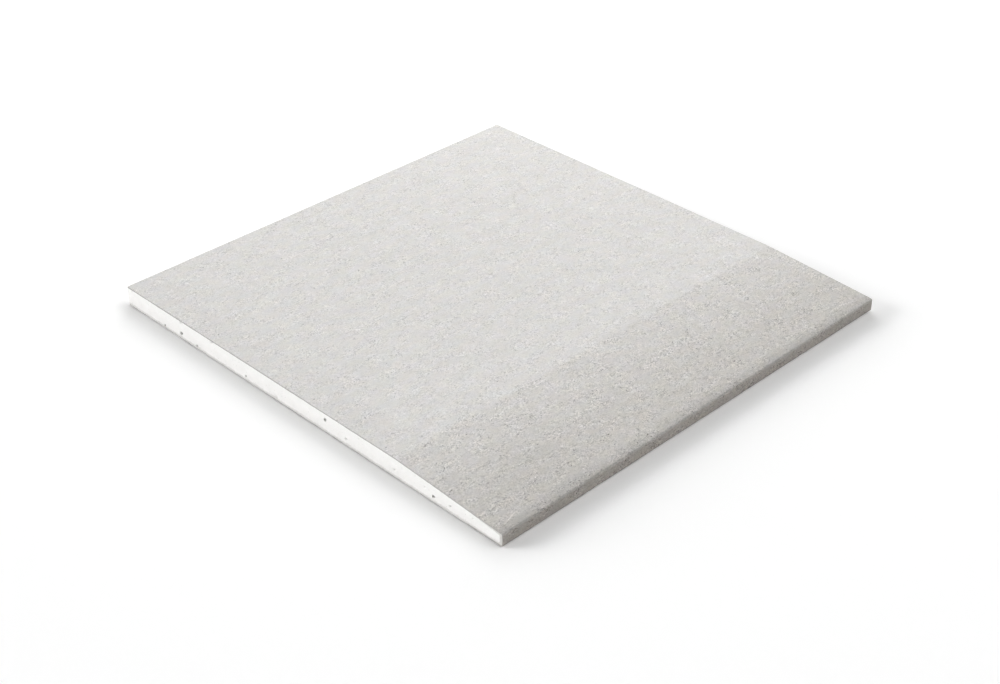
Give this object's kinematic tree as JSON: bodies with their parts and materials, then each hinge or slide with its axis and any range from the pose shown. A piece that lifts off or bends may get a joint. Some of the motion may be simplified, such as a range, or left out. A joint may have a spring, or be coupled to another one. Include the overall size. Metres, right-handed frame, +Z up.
{
  "type": "drywall sheet",
  "caption": "Square cut piece of tapered-edge gypsum board lying face up: white core, light face paper wrapped round the tapered long edge, plain back liner.",
  "frame": {"origin": "middle of the underside, on the floor", "axes": "+Z up out of the face side; +Y along the tapered, paper-wrapped long edge; +X across the board, towards that long edge"},
  "size_m": [0.3, 0.3, 0.0125],
  "materials": {
    "gypsum": "matte",
    "face_liner": "matte",
    "back_liner": "matte"
  },
  "bodies": {
    "root": {"gypsum_core": "gypsum", "face_paper": "face_liner", "back_paper": "back_liner"}
  },
  "joints": []
}
